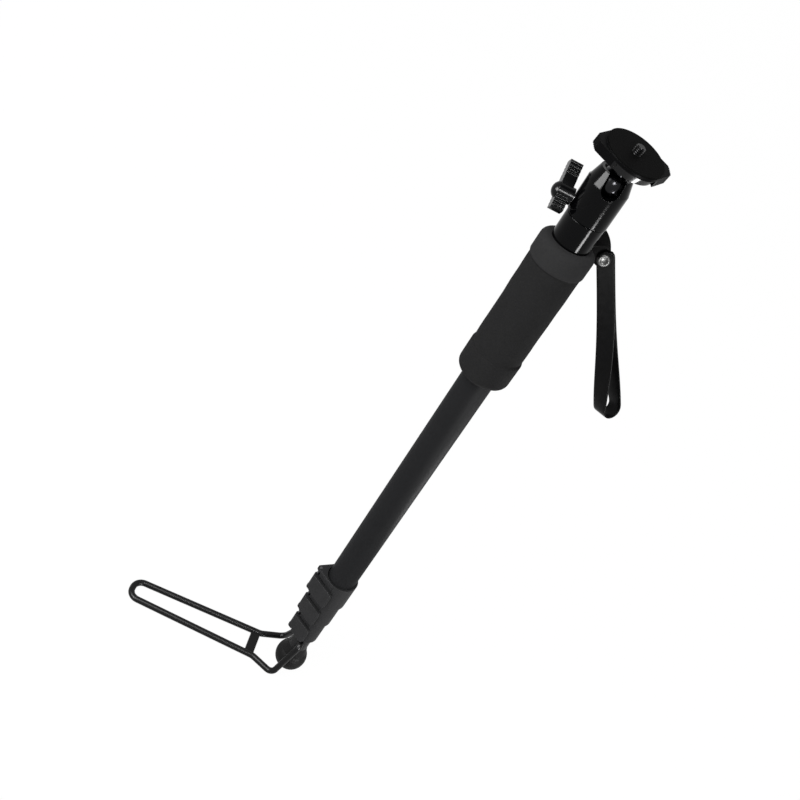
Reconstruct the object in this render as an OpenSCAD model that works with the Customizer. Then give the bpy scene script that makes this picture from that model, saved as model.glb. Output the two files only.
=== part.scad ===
// Camera monopod, folded: four sliding tubes with flip locks, a wire foot stirrup,
// a foam grip with a wrist strap, and a small ball head with a drop slot.
// Millimetres. The pole stands along +Z, the foot's sole is at the origin
// and the stirrup lies along -X.

/* [Pole] */
// Outside diameter of the upper tube
tube_d = 25; // [23:0.5:30]
// Difference in diameter from one tube to the next
tube_step = 3; // [2.8:0.1:4]
// Wall of every tube
tube_wall = 0.9; // [0.7:0.1:1.1]
// Bare length of the upper tube between its lock and the grip
tube_bare = 250; // [180:5:400]
// Drop from the top of one inner tube to the top of the next
tube_stagger = 15; // [14:0.5:30]
// Length of a guide bush above its tube
bush_cap = 6; // [4:0.5:7]
// Length of a guide bush inside its tube
bush_plug = 7.5; // [5:0.5:9]
// Wall of a guide bush where it plugs into its tube
bush_wall = 1.6; // [1.2:0.1:2.5]

/* [Flip locks] */
// Height of one lock collar
lock_h = 28; // [27:0.5:36]
// Wall of a lock collar round the tube it is fixed to
lock_wall = 2; // [1.6:0.1:3]
// Depth of the socket for the tube above
lock_socket = 8.5; // [6:0.5:8.5]
// Wall of the clamp band round the sliding tube
band_wall = 1.3; // [1:0.1:1.6]
// Distance from the clamp bore to the lever pin, upper, middle and lower lock
pin_gap = [9, 7.6, 6.8]; // [6.6:0.1:11]
// Radius of the collar's nose round the lever pin
nose_r = 2.6; // [2.4:0.1:3.2]
// Diameter of a lever pin
pin_d = 2.4; // [2:0.1:2.6]
// Height of a lever
lever_h = 18.5; // [14:0.5:18.5]
// Thickness of a lever plate
lever_t = 2.8; // [2:0.1:3.4]
// Length of a lever past the point where it lies closest to the tube
lever_past = 7.5; // [5:0.5:10]
// Corner radius of a lever's free end
lever_corner = 3; // [1.5:0.5:5]
// Thickness of the collar's top plate
plate_t = 2.4; // [1.8:0.1:3]
// Thickness of the collar's lower knuckle
knuckle_t = 2.6; // [2:0.1:4]
// Width of the slit in the clamp
slit_w = 1.2; // [0.8:0.1:1.6]
// Thickness of a clamp ear
ear_t = 2.2; // [1.8:0.1:2.4]
// Diameter of a clamp bolt
bolt_d = 2.5; // [2:0.1:2.8]

/* [Foot] */
// Height of the foot hub's shoulder under the locks
hub_top = 48.7; // [46:0.1:60]
// Diameter of the foot hub
hub_d = 17.6; // [17.2:0.1:22]
// Length of the hub's plug inside the lower tube
hub_plug = 18; // [10:1:30]
// Largest diameter of the rubber foot
foot_d = 29.2; // [24:0.2:31]
// Diameter of the rubber foot's sole
sole_d = 16; // [10:0.5:20]
// Height of the rubber foot
foot_h = 31; // [28:0.5:33]
// Diameter of the hub's stem inside the rubber foot
stem_d = 10; // [6:0.5:12]
// Height of that stem's lower end above the ground
stem_low = 10.3; // [6:0.1:14]

/* [Stirrup] */
// Diameter of the stirrup wire
wire_d = 4.5; // [3.5:0.1:5]
// Height of the stirrup pivot above the ground
pivot_z = 42.4; // [41:0.1:44]
// Distance from the pole's axis to the bend at each pivot
pivot_out = 13.2; // [12.4:0.1:16]
// Half width of the stirrup where its legs meet the ground
heel_half = 22; // [20:0.5:30]
// Distance of those heels in front of the pole's axis
heel_x = 10; // [6:0.5:16]
// Half width of the stirrup at the cross bar
bar_half = 12.9; // [10.5:0.1:18]
// Distance of the cross bar from the pole's axis
bar_x = 38; // [34:0.5:60]
// Half width of the stirrup at its tip
tip_half = 9.6; // [8:0.1:12]
// Distance of the tip from the pole's axis
tip_x = 157; // [110:1:200]
// Width of the cross bar
bar_w = 5.6; // [4:0.1:8]

/* [Grip] */
// Length of the foam grip
grip_len = 125; // [90:1:160]
// Diameter of the foam grip between its collars
grip_d = 38.4; // [34:0.2:44]
// How far the end collars stand out
grip_collar = 0.9; // [0.5:0.1:2]
// Height of each end collar
collar_h = 23; // [12:0.5:30]
// Rounding of the grip's ends
grip_round = 5; // [2:0.5:5.5]

/* [Neck] */
// Diameter of the neck above the grip
neck_d = 27.4; // [26:0.1:30]
// Height of the neck above the grip
neck_h = 13.5; // [13:0.5:30]
// Length of the neck's plug inside the upper tube
neck_plug = 22; // [12:1:30]
// Diameter of the screw between neck and head
head_screw_d = 6; // [4:0.5:6]

/* [Ball head] */
// Turn of the head about the pole
head_turn = 2; // [-45:1:45]
// Diameter of the ball housing
housing_d = 28.4; // [28:0.1:32]
// Height of the ball centre above the housing's foot
ball_up = 27; // [26:0.5:34]
// Diameter of the ball
ball_d = 21; // [19:0.5:21.5]
// Height of the housing's rim above the ball centre
rim_up = 8; // [7:0.5:8.5]
// Diameter of the housing's rim
rim_d = 22.6; // [21:0.2:24]
// Height of the tapered top of the housing
taper_h = 10; // [8:0.5:12]
// Diameter of the stem
post_d = 9.6; // [7:0.1:10]
// Diameter of the seat under the ball
seat_d = 16.6; // [12:0.2:18]
// Height of the seat under the ball
seat_h = 10; // [8:0.5:11]
// Lean of the platform towards the slot, as it stands in the photograph
lean = 9; // [0:1:30]
// Lean of the platform away from the knob, as it stands in the photograph
lean_side = 4; // [0:1:5]

/* [Platform] */
// Diameter of the platform
platform_d = 41.2; // [36:0.2:46]
// Length of the platform over its two ears
ears_len = 51.5; // [49:0.5:60]
// Width of an ear at its end
ear_w = 11; // [8:0.5:16]
// Thickness of an ear
ear_h = 6.5; // [4:0.1:6.8]
// Turn of the platform's ears about the stem
ear_turn = 13; // [-45:1:45]
// Distance from the ball centre to the platform's underside
platform_low = 16.9; // [15.4:0.1:24]
// Thickness of the platform without its pad
platform_t = 7.5; // [7.2:0.1:14]
// Diameter of the platform's underside
skirt_d = 36.5; // [24:0.5:38]
// Diameter of the pad
pad_d = 40.6; // [30:0.2:41]
// Thickness of the pad
pad_t = 1; // [0.8:0.1:3]
// Diameter of the camera screw
screw_d = 6.35; // [5:0.05:7]
// Height of the camera screw above the pad
screw_up = 5; // [4:0.1:6]

/* [Wing knob] */
// Depth of the knob's axis below the ball centre
knob_drop = 19.4; // [18.8:0.1:20.4]
// Distance from the pole's axis to the knob's inner end
knob_in = 15.6; // [15.4:0.1:20]
// Distance from the pole's axis to the knob's outer end
knob_out = 26.2; // [25:0.2:36]
// Diameter of the knob's hub
knob_d = 11.2; // [9:0.1:12]
// Length of the upper wing
wing_up = 20.5; // [14:0.5:20.5]
// Length of the lower wing
wing_down = 12.5; // [11:0.5:20.5]
// Width of a wing
wing_w = 8.4; // [6:0.2:9]
// Thickness of a wing
wing_t = 8.4; // [5:0.2:9]
// Turn of the wings about the knob's axis
wing_turn = 42; // [0:1:90]
// Diameter of the knob's stud
stud_d = 5; // [4:0.1:5]
// Height of the knob's domed cap
cap_h = 3.4; // [1.5:0.1:4]

/* [Wrist strap] */
// Width of the strap
strap_w = 15; // [10:0.5:18]
// Thickness of one strap layer
strap_t = 1.2; // [0.8:0.1:2]
// Thickness of the anchor tab
tab_t = 1.6; // [1:0.1:2.5]
// Width of the anchor tab
tab_w = 9; // [8.5:0.5:10]
// Distance of the tab's knee out from the pole's axis
knee_x = 21; // [18:0.5:24]
// Drop from the strap screw to the knee
knee_drop = 10.5; // [9:0.5:12]
// Distance of the rivet out from the pole's axis
rivet_x = 28.5; // [26:0.5:34]
// Drop from the strap screw to the rivet
rivet_drop = 22.5; // [18:0.5:28]
// Height of the strap screw above the grip
anchor_up = 10; // [9:0.5:12]
// Angle of the hanging loop from the pole
hang_angle = 33; // [30:1:60]
// Length of the loop below the rivet
loop_len = 126; // [80:1:160]
// Half the widest gap inside the loop
loop_half = 6.5; // [4:0.5:8]
// Diameter of the rivet's heads
rivet_d = 9; // [6:0.1:11]

/* [Clearances] */
// Gap between parts that slide or swing
slide_gap = 0.3; // [0.25:0.05:0.4]
// Gap round a hinge pin
pin_clear = 0.15; // [0.1:0.05:0.25]
// Gap between the ball and what holds it
ball_clear = 0.25; // [0.2:0.05:0.35]

/* [Hidden] */
$fn = 64;

// Cutters run this far past the faces they open
past = 1;

// Tube radii from the upper to the lower tube
tube_r = [for (i = [0 : 3]) (tube_d - i * tube_step) / 2];
bore_r = [for (r = tube_r) r - tube_wall];

// Heights from the ground up
lock_z = [for (i = [0 : 2]) hub_top + slide_gap + (2 - i) * (lock_h + slide_gap)];
locks_top = lock_z[0] + lock_h;
grip_z = locks_top + tube_bare;
grip_top = grip_z + grip_len;
housing_z = grip_top + neck_h;
ball_z = housing_z + ball_up;

// Tube ends: each tube stands in the socket of its lock, the lower one on the hub
socket_floor = lock_h - lock_socket;
tube_low = [
    for (i = [0 : 2]) lock_z[i] + socket_floor,
    hub_top
];
bush_top = grip_top - neck_plug - bush_cap / 2;
tube_high = [
    grip_top,
    for (i = [1 : 3]) bush_top - bush_cap - (i - 1) * tube_stagger
];

// Lock plan: a ring with a nose that carries the lever pin on the -X side
clamp_r = [for (i = [0 : 2]) tube_r[i + 1] + slide_gap];
ring_r = [for (i = [0 : 2]) tube_r[i] + lock_wall];
pin_x = [for (i = [0 : 2]) clamp_r[i] + pin_gap[i]];
face_turn = [for (i = [0 : 2]) asin((ring_r[i] - nose_r) / pin_x[i])];
lever_low = 0.4;
lever_zone = socket_floor - slide_gap / 2;
recess_top = lock_h - plate_t;
recess_in = 1.4;
relief_w = 0.9;
relief_deep = plate_t + 1;
nose_wall = 1;
band_gap = 0.15;
eye_r = nose_r - slide_gap;
knuckle_r = norm([nose_r + slide_gap, nose_r]);
bolt_wall = 1;
bolt_x = [for (r = clamp_r) r + bolt_wall + bolt_d / 2];
ear_reach = [for (x = bolt_x) x + bolt_d / 2 + bolt_wall];
ear_clear = 2.4;
ear_top = socket_floor - ear_clear;
ear_back = slit_w / 2 + ear_t;
bolt_z = (knuckle_t + ear_top) / 2;
nut_t = 1.3;
nut_r = bolt_d * 0.85;
bolt_head_t = 1.6;
bolt_head_r = bolt_d * 0.8;
bolt_key_r = bolt_d * 0.4;

// Ball head
housing_r = housing_d / 2;
rim_r = rim_d / 2;
ball_r = ball_d / 2;
cavity_r = ball_r + ball_clear;
post_r = post_d / 2;
slot_r = post_r + 4 * slide_gap;
rim_wall = 1.6;
panel_proud = 0.35;
panel_r = housing_r + panel_proud;
panel_inset = 2;
panel_half = housing_r - panel_inset;
edge_break = 0.5;
panel_lip = 0.8;
panel_low = edge_break + panel_lip - ball_up;
head_screw_up = 4;
shank_d = screw_d - 0.55;
screw_tip = 0.8;
seat_low = ball_r + seat_h / 2;
seat_drop = 0.5;
peg_r = 1.9;
peg_low = knob_drop - peg_r - 2 * slide_gap;

// Wire stirrup
wire_r = wire_d / 2;
wire_z = wire_r + slide_gap;
wire_sides = 14;
pivot_in = 4.5;
wire_in = pivot_in + 2;
pivot_stub = 4.2;
pivot_r = wire_r + 0.1;
pivot_bend = 4.5;
heel_bend = 7;
turn_bend = 14;
tip_bend = tip_half - 0.8;
bar_t = 0.85 * wire_d;

// Wrist strap
strap_y = neck_d / 2 + strap_t + 2 * slide_gap + tab_t / 2;
anchor_z = grip_top + anchor_up;
tab_knee = [knee_x, -knee_drop];
tab_end = [rivet_x, -rivet_drop];
strap_screw_d = 3.6;
strap_head_d = 6.8;
strap_head_t = 2;
washer_d = 8.2;
washer_t = 1;
rivet_shank_d = 3;
rivet_head_t = 1.1;
rivet_taper = 1.4;

charcoal = "#303133";
black = "#1b1b1c";
graphite = "#3b3b3d";
steel = "#b9bbbd";

// Pole tubes

module tube(i) {
    color(charcoal)
        translate([0, 0, tube_low[i]])
            difference() {
                cylinder(h = tube_high[i] - tube_low[i], r = tube_r[i]);
                translate([0, 0, -past])
                    cylinder(h = tube_high[i] - tube_low[i] + 2 * past, r = bore_r[i]);
            }
}

module guide_bush(i) {
    color(black)
        translate([0, 0, tube_high[i]])
            difference() {
                union() {
                    cylinder(h = bush_cap, r = bore_r[i - 1] - slide_gap);
                    translate([0, 0, -bush_plug])
                        cylinder(h = bush_plug + past, r = bore_r[i]);
                }
                translate([0, 0, -bush_plug - past])
                    cylinder(h = bush_plug + bush_cap + 2 * past, r = bore_r[i] - bush_wall);
            }
}

// Flip locks

// Ring and nose joined by sides a hair inside their common tangents, so that each side crosses both circles
module teardrop(ring, nose, reach) {
    slope = (ring - nose) / reach;
    side = sqrt(1 - slope * slope);
    hair = 0.01;
    wide = (ring - hair) * [-slope, side];
    slim = (nose - hair) * [-slope, side] - [reach, 0];
    circle(r = ring);
    translate([-reach, 0])
        circle(r = nose);
    polygon([wide, slim, [slim[0], -slim[1]], [wide[0], -wide[1]]]);
}

// Places a shape in the lever's own frame: pin at the origin, length along +X, outside along -Y
module at_lever(i) {
    translate([-pin_x[i], 0, lock_z[i]])
        rotate([0, 0, -face_turn[i]])
            children();
}

// Distance of the lever's inner face outside the pin's centre
function lever_in(i) = clamp_r[i] + band_wall + band_gap + slide_gap - (ring_r[i] - nose_r);
function lever_len(i) = pin_x[i] * cos(face_turn[i]) + lever_past;

module lock_collar(i) {
    color(graphite)
        difference() {
            translate([0, 0, lock_z[i]])
                linear_extrude(lock_h)
                    teardrop(ring_r[i], nose_r, pin_x[i]);
            // Socket for the tube above, then the clamp bore for the sliding tube
            translate([0, 0, lock_z[i] + socket_floor])
                cylinder(h = lock_socket + past, r = tube_r[i]);
            translate([0, 0, lock_z[i] - past])
                cylinder(h = lock_h, r = clamp_r[i]);
            // Relief beside the tube in the top plate
            translate([-relief_w, 0, lock_z[i] + lock_h - relief_deep])
                cylinder(h = relief_deep + past, r = tube_r[i]);
            lever_recess(i);
            nose_pocket(i);
            clamp_slit(i);
            // Lever pin, then the clamp bolt with the pockets of its head and its nut
            translate([-pin_x[i], 0, lock_z[i] - past])
                cylinder(h = lock_h + 2 * past, d = pin_d);
            translate([-bolt_x[i], ring_r[i], lock_z[i] + bolt_z])
                rotate([90, 0, 0])
                    cylinder(h = 2 * ring_r[i], d = bolt_d);
            translate([-bolt_x[i], ear_back, lock_z[i] + bolt_z])
                rotate([-90, 0, 0])
                    cylinder(h = ring_r[i], r = bolt_head_r + pin_clear);
            translate([-bolt_x[i], nut_t - ear_back, lock_z[i] + bolt_z])
                rotate([90, 0, 0])
                    cylinder(h = nut_t + past, r = nut_r, $fn = 6);
        }
}

// Room for the lever along the front of the collar
module lever_recess(i) {
    inner = lever_in(i) - slide_gap;
    reach = lever_len(i) + 2 * nose_r;
    at_lever(i) {
        translate([nose_r + slide_gap, -inner - 2 * ring_r[i], -past])
            cube([reach, 2 * ring_r[i], lever_zone + past]);
        translate([-3 * nose_r, -inner - 2 * ring_r[i], knuckle_t])
            cube([reach, 2 * ring_r[i], lever_zone - knuckle_t]);
        translate([-3 * nose_r, recess_in - nose_r - 2 * ring_r[i], lever_zone - past])
            cube([reach, 2 * ring_r[i], recess_top - lever_zone + past]);
        translate([0, 0, knuckle_t])
            cylinder(h = recess_top - knuckle_t, r = nose_r + slide_gap);
    }
}

// Hollow nose between the clamp band and the collar's back wall
module nose_pocket(i) {
    pocket_low = knuckle_t + nose_wall;
    front_low = knuckle_t + nose_wall / 2;
    difference() {
        union() {
            translate([0, 0, lock_z[i] + pocket_low])
                linear_extrude(socket_floor - pocket_low)
                    teardrop(ring_r[i] - lock_wall, nose_r - nose_wall, pin_x[i]);
            at_lever(i)
                translate([0, -lever_in(i), front_low])
                    cube([pin_x[i] * cos(face_turn[i]), lever_in(i), lever_zone - nose_wall - front_low]);
        }
        translate([0, 0, lock_z[i]]) {
            cylinder(h = lock_h, r = clamp_r[i] + band_wall);
            translate([-ear_reach[i], -ear_back, 0])
                cube([ear_reach[i], 2 * ear_back, ear_top]);
            translate([-ear_reach[i], 0, 0])
                cube([ear_reach[i], ring_r[i], ear_top]);
        }
    }
}

// Slit that lets the clamp close on the sliding tube
module clamp_slit(i) {
    translate([-ear_reach[i] - past, -slit_w / 2, lock_z[i] - past])
        cube([ear_reach[i] + past, slit_w, past + ear_top + bolt_wall]);
}

module lock_lever(i) {
    inner = lever_in(i);
    len = lever_len(i);
    outer = inner + lever_t;
    tip = lever_t / 3;
    eye_flat = 0.8 * eye_r;
    root = 1.5 * eye_r;
    color(graphite)
        at_lever(i)
            difference() {
                intersection() {
                    translate([0, 0, lever_low]) {
                        cylinder(h = lever_h, r = eye_r);
                        linear_extrude(lever_h)
                            polygon([
                                [0, eye_flat],
                                [root, -inner],
                                [len - tip, -inner],
                                [len, -inner - tip],
                                [len, -outer + tip],
                                [len - tip, -outer],
                                [0, -outer],
                                [-eye_flat, 0]
                            ]);
                    }
                    lever_outline(len, outer);
                }
                // Notch over the collar's lower knuckle, whose front corner it clears as the lever swings
                translate([-2 * nose_r, -outer - past, -past])
                    cube([
                        2 * nose_r + knuckle_r + slide_gap,
                        2 * outer + 2 * past,
                        past + knuckle_t + slide_gap
                    ]);
                translate([0, 0, -past])
                    cylinder(h = lock_h, d = pin_d + 2 * pin_clear);
            }
}

// Front view of a lever: square at the pin, round corners at the free end
module lever_outline(len, outer) {
    turns = [0 : 15 : 90];
    low = [len - lever_corner, lever_corner];
    high = [len - lever_corner, lever_h - lever_corner];
    rotate([90, 0, 0])
        translate([0, lever_low, -2 * eye_r])
            linear_extrude(outer + 4 * eye_r)
                polygon(concat(
                    [[-2 * eye_r, -past]],
                    [for (a = turns) low + lever_corner * [sin(a), -cos(a)]],
                    [for (a = turns) high + lever_corner * [cos(a), sin(a)]],
                    [[-2 * eye_r, lever_h + past]]
                ));
}

module lock_pin(i) {
    color(steel)
        translate([-pin_x[i], 0, lock_z[i]])
            cylinder(h = lock_h, d = pin_d);
}

// Clamp bolt across the slit: socket head behind, nut sunk in the front ear
module lock_bolt(i) {
    color(steel)
        translate([-bolt_x[i], ear_back, lock_z[i] + bolt_z])
            rotate([90, 0, 0])
                difference() {
                    union() {
                        cylinder(h = 2 * ear_back, d = bolt_d);
                        translate([0, 0, -bolt_head_t])
                            cylinder(h = bolt_head_t, r = bolt_head_r);
                    }
                    translate([0, 0, -bolt_head_t - past])
                        cylinder(h = bolt_head_t / 2 + past, r = bolt_key_r, $fn = 6);
                }
}

module lock_nut(i) {
    color(steel)
        translate([-bolt_x[i], nut_t - ear_back, lock_z[i] + bolt_z])
            rotate([90, 0, 0])
                difference() {
                    cylinder(h = nut_t, r = nut_r, $fn = 6);
                    translate([0, 0, -past])
                        cylinder(h = nut_t + 2 * past, d = bolt_d);
                }
}

// Foot

module foot_hub() {
    hub_r = hub_d / 2;
    color(black)
        difference() {
            union() {
                translate([0, 0, foot_h])
                    cylinder(h = hub_top - foot_h, r = hub_r);
                translate([0, 0, hub_top - past])
                    cylinder(h = hub_plug + past, r = bore_r[3]);
                translate([0, 0, stem_low])
                    cylinder(h = foot_h - stem_low + past, d = stem_d);
            }
            // Pivot holes for the stirrup's ends
            for (side = [-1, 1])
                translate([0, side * (pivot_in - pin_clear), pivot_z])
                    rotate([-side * 90, 0, 0])
                        cylinder(h = hub_r, r = pivot_r + pin_clear);
        }
}

module rubber_foot() {
    bulb_r = foot_d / 2;
    sole_r = sole_d / 2;
    hub_r = hub_d / 2;
    bulb_z = sqrt(bulb_r * bulb_r - sole_r * sole_r);
    bell_turn = 38;
    color("#222223")
        difference() {
            rotate_extrude()
                difference() {
                    union() {
                        // Bulb
                        intersection() {
                            translate([0, bulb_z])
                                circle(r = bulb_r);
                            square([bulb_r, foot_h]);
                        }
                        // Bell between the bulb and the hub
                        polygon([
                            [0, bulb_z],
                            [bulb_r * cos(bell_turn), bulb_z + bulb_r * sin(bell_turn)],
                            [hub_r, foot_h],
                            [0, foot_h]
                        ]);
                    }
                    translate([-2 * bulb_r, -past])
                        square([2 * bulb_r, foot_h + 2 * past]);
                }
            translate([0, 0, stem_low])
                cylinder(h = foot_h, d = stem_d);
        }
}

// Stirrup

// Direction from one point to the next
function unit(v) = v / norm(v);

// Points of the arc that rounds the corner b between the runs towards a and c
function bend_arc(a, b, c, bend) =
    let (
        u = unit(a - b),
        v = unit(c - b),
        half = acos(u * v) / 2,
        mid = unit(u + v),
        centre = b + mid * bend / sin(half),
        x = -mid,
        y = unit(v - u),
        sweep = 90 - half,
        n = max(2, ceil(sweep / 5))
    )
        [
            for (k = [0 : n])
                let (turn = sweep * (2 * k / n - 1))
                    centre + bend * (cos(turn) * x + sin(turn) * y)
        ];

// Path along a list of corners, each rounded by its own bend radius
function rounded_path(p, bend) = [
    p[0],
    for (i = [1 : len(p) - 2]) each bend_arc(p[i - 1], p[i], p[i + 1], bend[i]),
    p[len(p) - 1]
];

// Round wire along a path
module swept_wire(path) {
    n = len(path);
    upright = [1, 0, 1];
    rings = [
        for (i = [0 : n - 1])
            let (
                t = unit(path[min(i + 1, n - 1)] - path[max(i - 1, 0)]),
                e = unit(cross(t, upright)),
                f = cross(t, e)
            )
                for (k = [0 : wire_sides - 1])
                    path[i] + wire_r * (cos(360 * k / wire_sides) * e + sin(360 * k / wire_sides) * f)
    ];
    faces = [
        [for (k = [0 : wire_sides - 1]) k],
        [for (k = [0 : wire_sides - 1]) n * wire_sides - 1 - k],
        for (i = [0 : n - 2], k = [0 : wire_sides - 1])
            let (
                a = i * wire_sides + k,
                b = i * wire_sides + (k + 1) % wire_sides
            )
                each [[a, a + wire_sides, b], [b, a + wire_sides, b + wire_sides]]
    ];
    polyhedron(rings, faces);
}

// Half width of the stirrup's long run at a distance from the pole's axis
function run_half(x) = bar_half + (tip_half - bar_half) * (x - bar_x) / (tip_x - bar_x);

// The runs turn in just before the cross bar
turn_gap = 3;
turn_x = bar_x - bar_w / 2 - turn_gap;
half_loop = [
    [0, wire_in, pivot_z],
    [0, pivot_out, pivot_z],
    [-heel_x, heel_half, wire_z],
    [-turn_x, run_half(turn_x), wire_z],
    [-tip_x, tip_half, wire_z],
    [-tip_x, 0, wire_z]
];
half_bends = [0, pivot_bend, heel_bend, turn_bend, tip_bend, 0];
half_path = rounded_path(half_loop, half_bends);
wire_path = concat(
    half_path,
    [for (i = [len(half_path) - 2 : -1 : 0]) [half_path[i][0], -half_path[i][1], half_path[i][2]]]
);

module stirrup_wire() {
    color(black) {
        swept_wire(wire_path);
        for (side = [-1, 1])
            translate([0, side * pivot_in, pivot_z])
                rotate([-side * 90, 0, 0])
                    cylinder(h = pivot_stub, r = pivot_r);
    }
}

module stirrup_crossbar() {
    run = unit(half_loop[4] - half_loop[3]);
    color(black)
        difference() {
            translate([-bar_x - bar_w / 2, -run_half(bar_x), wire_z - bar_t / 2])
                cube([bar_w, 2 * run_half(bar_x), bar_t]);
            for (side = [0, 1])
                mirror([0, side, 0])
                    translate([-bar_x, run_half(bar_x), wire_z])
                        rotate([0, 90, atan2(run[1], run[0])])
                            cylinder(h = 4 * bar_w, r = wire_r, center = true);
        }
}

// Grip and neck

module foam_grip() {
    body_r = grip_d / 2;
    end_r = body_r + grip_collar;
    color("#2c2c2d")
        translate([0, 0, grip_z])
            rotate_extrude()
                translate([tube_r[0], 0])
                    intersection() {
                        square([end_r, grip_len]);
                        union() {
                            translate([0, grip_round])
                                square([body_r - tube_r[0], grip_len - 2 * grip_round]);
                            for (low = [0, grip_len - collar_h])
                                translate([0, low])
                                    grip_end(end_r - tube_r[0], low == 0);
                        }
                    }
}

// Section of one end collar of the grip, its outer end well rounded
module grip_end(width, bottom) {
    small = 1.2;
    outer = bottom ? grip_round : collar_h - grip_round;
    inner = bottom ? collar_h - small : small;
    low = bottom ? grip_round : small;
    high = bottom ? collar_h - small : collar_h - grip_round;
    square([width - grip_round, collar_h]);
    translate([0, low])
        square([width, high - low]);
    translate([width - grip_round, outer])
        circle(r = grip_round);
    translate([0, bottom ? high - past : 0])
        square([width - small, small + past]);
    translate([width - small, inner])
        circle(r = small);
}

module neck() {
    neck_r = neck_d / 2;
    color(black)
        difference() {
            rotate_extrude()
                polygon([
                    [0, grip_top - neck_plug],
                    [bore_r[0], grip_top - neck_plug],
                    [bore_r[0], grip_top],
                    [neck_r, grip_top],
                    [neck_r, housing_z - edge_break],
                    [neck_r - edge_break, housing_z],
                    [0, housing_z]
                ]);
            translate([0, 0, housing_z - neck_h])
                cylinder(h = neck_h + past, d = head_screw_d);
            translate([0, head_screw_d, anchor_z])
                rotate([-90, 0, 0])
                    cylinder(h = neck_d, d = strap_screw_d);
        }
}

// Ball head

// Places a shape in the head's frame: ball centre at the origin, slot towards -Y, knob towards -X
module at_head() {
    translate([0, 0, ball_z])
        rotate([0, 0, head_turn])
            children();
}

// Places a shape on the leaning stem: ball centre at the origin, stem along +Z
module at_stem() {
    at_head()
        rotate([lean, lean_side, 0])
            children();
}

// Places a shape on the knob's axis: pole axis at the origin, knob along +Z, pole up along +Y
module at_knob() {
    at_head()
        translate([0, 0, -knob_drop])
            rotate([90, 0, -90])
                children();
}

module head_screw() {
    color(steel)
        translate([0, 0, housing_z - neck_h])
            cylinder(h = neck_h + head_screw_up, d = head_screw_d);
}

module ball_housing() {
    foot = -ball_up;
    color(black)
        at_head()
            difference() {
                union() {
                    rotate_extrude()
                        polygon([
                            [0, foot],
                            [housing_r - edge_break, foot],
                            [housing_r, foot + edge_break],
                            [housing_r, rim_up - taper_h],
                            [rim_r, rim_up],
                            [0, rim_up]
                        ]);
                    knob_panel();
                }
                sphere(r = cavity_r);
                // Mouth over the ball and the drop slot for the stem
                cylinder(h = rim_up + past, r1 = post_r, r2 = rim_r - rim_wall);
                rotate([90, 0, 0])
                    cylinder(h = 2 * housing_r, r = slot_r);
                translate([-slot_r, -2 * housing_r, 0])
                    cube([2 * slot_r, 2 * housing_r, rim_up + past]);
                // Bores of the seat, its peg, the stud and the neck screw
                translate([0, 0, -seat_low - seat_drop - slide_gap])
                    cylinder(h = seat_h, d = seat_d + 2 * slide_gap);
                translate([0, 0, -knob_drop])
                    cylinder(h = seat_h, r = peg_r + slide_gap);
                translate([0, 0, -knob_drop])
                    rotate([0, -90, 0])
                        cylinder(h = 2 * housing_r, d = stud_d + 2 * pin_clear);
                translate([0, 0, foot - past])
                    cylinder(h = head_screw_up + past, d = head_screw_d);
            }
}

// Raised panel with a round lower edge on the knob's side of the housing
module knob_panel() {
    panel_mid = panel_low + panel_half;
    panel_top = rim_up - taper_h;
    intersection() {
        translate([0, 0, -ball_up])
            cylinder(h = ball_up + panel_top, r = panel_r);
        translate([-panel_r, 0, panel_mid])
            rotate([0, 90, 0])
                cylinder(h = panel_r, r = panel_half);
    }
    intersection() {
        translate([0, 0, panel_mid])
            cylinder(h = panel_top - panel_mid, r = panel_r);
        translate([-panel_r, -panel_half, panel_low])
            cube([panel_r, 2 * panel_half, ball_up]);
    }
}

// Cup under the ball on a peg that the stud's cone lifts
module ball_seat() {
    color("#6d6d6a")
        at_head()
            difference() {
                union() {
                    translate([0, 0, -seat_low])
                        cylinder(h = seat_h, d = seat_d);
                    translate([0, 0, -peg_low])
                        cylinder(h = peg_low, r = peg_r);
                }
                sphere(r = cavity_r);
            }
}

module ball_stem() {
    color("#2a2a2b")
        at_stem()
            difference() {
                union() {
                    sphere(r = ball_r);
                    cylinder(h = platform_low - slide_gap, r = post_r);
                }
                translate([0, 0, platform_low / 2])
                    cylinder(h = platform_low, d = shank_d);
            }
}

// Threaded end above the pad, on a thinner shank set into the stem
module camera_screw() {
    face = platform_low + platform_t + pad_t;
    color(steel)
        at_stem()
            rotate_extrude()
                polygon([
                    [0, platform_low / 2],
                    [shank_d / 2, platform_low / 2],
                    [shank_d / 2, face],
                    [screw_d / 2, face],
                    [screw_d / 2, face + screw_up - screw_tip],
                    [screw_d / 2 - screw_tip, face + screw_up],
                    [0, face + screw_up]
                ]);
}

module camera_platform() {
    rim_t = 2.2;
    rib_r = 0.6;
    rib_pitch = ear_w / 6;
    disc_r = platform_d / 2;
    color(black)
        at_stem()
            translate([0, 0, platform_low])
                difference() {
                    union() {
                        rotate_extrude()
                            polygon([
                                [0, 0],
                                [skirt_d / 2, 0],
                                [disc_r, platform_t - rim_t],
                                [disc_r, platform_t],
                                [0, platform_t]
                            ]);
                        platform_ears();
                    }
                    translate([0, 0, -past])
                        cylinder(h = platform_t + 2 * past, d = shank_d + 2 * slide_gap);
                    rotate([0, 0, ear_turn])
                        for (side = [-1, 1], k = [-2 : 2])
                            translate([side * ears_len / 2, k * rib_pitch, -past])
                                cylinder(h = platform_t + 2 * past, r = rib_r);
                }
}

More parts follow.
